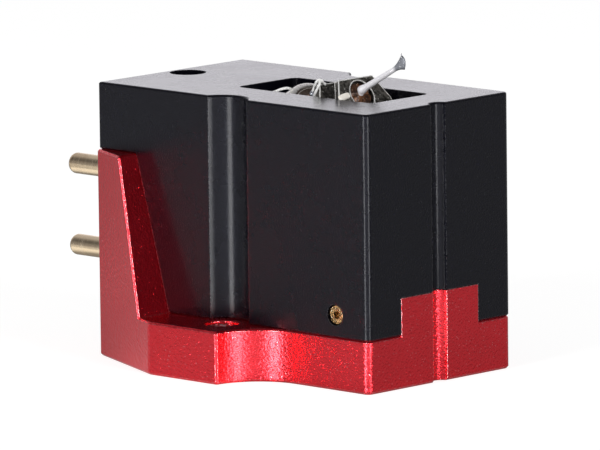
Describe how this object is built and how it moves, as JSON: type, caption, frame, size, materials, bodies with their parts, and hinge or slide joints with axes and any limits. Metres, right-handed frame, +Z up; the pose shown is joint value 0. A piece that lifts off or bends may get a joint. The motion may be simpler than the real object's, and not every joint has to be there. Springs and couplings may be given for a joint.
{
  "type": "turntable stylus cartridge",
  "caption": "Moving-coil pickup: raked metal base with threaded ears and contact pins, fluted cover with a top window, tilted generator and sprung stylus arm.",
  "frame": {"origin": "midway between the two threaded mounting holes, on the mounting face", "axes": "+X towards the stylus end, +Y across the body, +Z up from the mounting face to the stylus"},
  "size_m": [0.0253, 0.0174, 0.0179],
  "materials": {
    "red_anodised": "bead-blasted red anodising",
    "black_cover": "satin black",
    "brass": "turned",
    "gold_plate": "gold plated",
    "screw_steel": "blackened",
    "insulator": "natural",
    "carrier_plastic": "moulded",
    "soft_iron": "ground edges, dull faces",
    "magnet": "sintered",
    "damper_rubber": "matte",
    "copper_winding": "varnished copper winding",
    "bright_aluminium": "drawn, bright",
    "diamond": "polished",
    "strip_board": "phenolic board",
    "lead_sleeve": "white sleeving"
  },
  "bodies": {
    "pickup_body": {"mount_base": "red_anodised", "body_cover": "black_cover", "cover_side_screws": "brass", "cover_rear_screw": "screw_steel", "pin_bushes": "insulator", "pin_left_signal": "gold_plate", "pin_left_ground": "gold_plate", "pin_right_signal": "gold_plate", "pin_right_ground": "gold_plate", "generator_carrier": "carrier_plastic", "carrier_screws": "screw_steel", "yoke_frame": "soft_iron", "rear_pole": "soft_iron", "ring_magnet": "magnet", "wire_sleeve": "brass", "sleeve_nut": "brass", "suspension_wire": "screw_steel", "solder_strip": "strip_board", "lead_left_signal": "lead_sleeve", "lead_left_ground": "lead_sleeve", "lead_right_signal": "lead_sleeve", "lead_right_ground": "lead_sleeve"},
    "suspension": {"damper": "damper_rubber"},
    "stylus_arm": {"armature_core": "soft_iron", "coil_left": "copper_winding", "coil_right": "copper_winding", "cantilever": "bright_aluminium", "stylus": "diamond"}
  },
  "joints": [
    {"name": "arm_sideways", "type": "hinge", "parent": "pickup_body", "child": "suspension", "pos_m": [0.00381, 0, 0.01486], "axis": [-0.515, 0, 0.8572], "range_deg": [-3, 3], "stiffness_Nm_per_rad": 0.0022},
    {"name": "arm_vertical", "type": "hinge", "parent": "suspension", "child": "stylus_arm", "pos_m": [0.00381, 0, 0.01486], "axis": [0, 1, 0], "range_deg": [-1.5, 6], "stiffness_Nm_per_rad": 0.0022}
  ]
}
